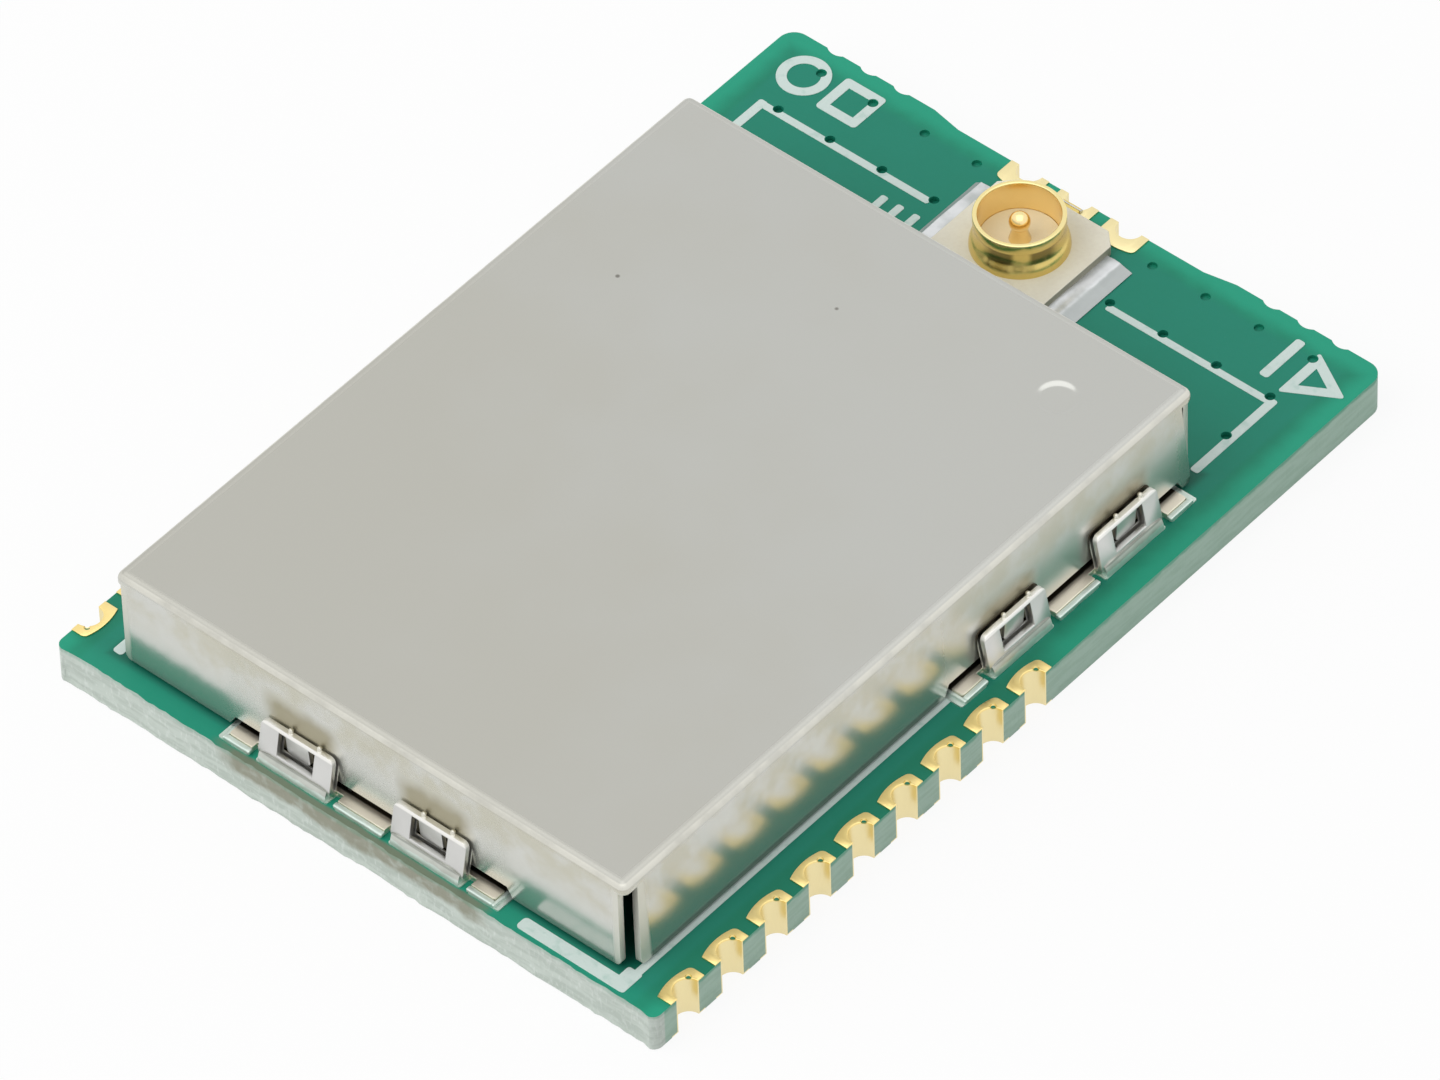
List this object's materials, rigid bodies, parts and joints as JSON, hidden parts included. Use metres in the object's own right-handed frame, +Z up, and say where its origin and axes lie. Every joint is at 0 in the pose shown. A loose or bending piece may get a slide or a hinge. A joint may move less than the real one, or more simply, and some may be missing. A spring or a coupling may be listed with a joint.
{
  "type": "radio module",
  "caption": "Shielded radio module: a green circuit board with plated edge half-holes, a folded metal shield can held by spring clips, and a micro coaxial antenna connector.",
  "frame": {"origin": "middle of the board's underside", "axes": "+X across the board, +Y along the board towards the coaxial connector, +Z up through the can"},
  "size_m": [0.0166, 0.024, 0.0036],
  "materials": {
    "laminate": "green solder mask over glass laminate",
    "gold_plating": "thin gold plating",
    "can_sheet": "satin nickel silver",
    "clip_sheet": "bright tinned sheet",
    "solder": "bright solder",
    "connector_plastic": "moulded",
    "connector_gold": "gold plated",
    "package_mould": "moulded",
    "tinned_leads": "tinned",
    "crystal_ceramic": "fired",
    "crystal_metal": "plated lid",
    "pale_ceramic": "fired",
    "tan_ceramic": "fired",
    "black_glaze": "glazed"
  },
  "bodies": {
    "root": {"board": "laminate", "pads_right": "gold_plating", "pads_left": "gold_plating", "pads_rf": "gold_plating", "shield_can": "can_sheet", "clip_front": "clip_sheet", "clip_right": "clip_sheet", "clip_left": "clip_sheet", "clip_rear": "clip_sheet", "clip_solder": "solder", "connector_base": "connector_plastic", "connector_shell": "connector_gold", "connector_pin": "connector_gold", "connector_solder": "solder", "transceiver_body": "package_mould", "transceiver_leads": "tinned_leads", "amplifier_body": "package_mould", "amplifier_leads": "tinned_leads", "crystal_base": "crystal_ceramic", "crystal_lid": "crystal_metal", "filter_body": "pale_ceramic", "filter_ends": "tinned_leads", "capacitor_bodies": "tan_ceramic", "capacitor_ends": "tinned_leads", "inductor_bodies": "pale_ceramic", "inductor_ends": "tinned_leads", "resistor_bodies": "black_glaze", "resistor_ends": "tinned_leads"}
  },
  "joints": []
}
